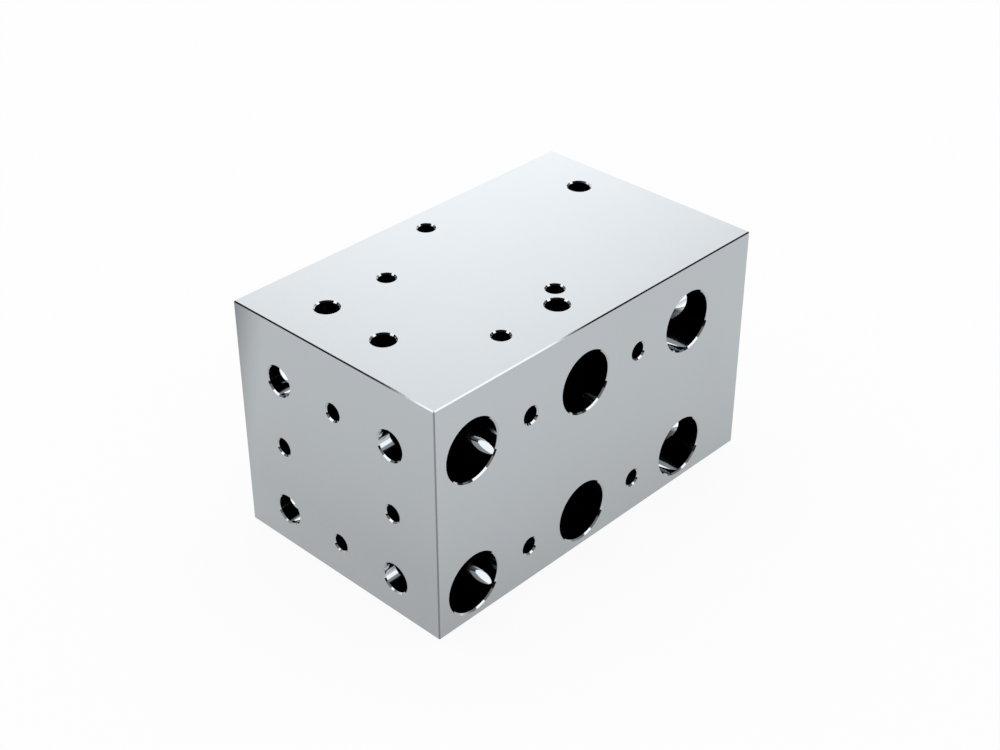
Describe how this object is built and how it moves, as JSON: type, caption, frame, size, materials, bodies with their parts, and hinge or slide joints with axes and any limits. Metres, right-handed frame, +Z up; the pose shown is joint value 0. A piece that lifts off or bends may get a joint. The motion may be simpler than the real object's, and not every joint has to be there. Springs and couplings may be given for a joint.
{
  "type": "adapter block",
  "caption": "Rectangular machined steel adapter block with large ports in the front and rear faces, cross ports in both ends, and small ports and tapped fixing holes in its faces.",
  "frame": {"origin": "middle of the resting face", "axes": "+X along the long side from the left end to the right end, +Y from the front port face to the rear port face, +Z up"},
  "size_m": [0.152, 0.092, 0.088],
  "materials": {
    "steel": "finely ground"
  },
  "bodies": {
    "root": {"adapter_block": "steel"}
  },
  "joints": []
}
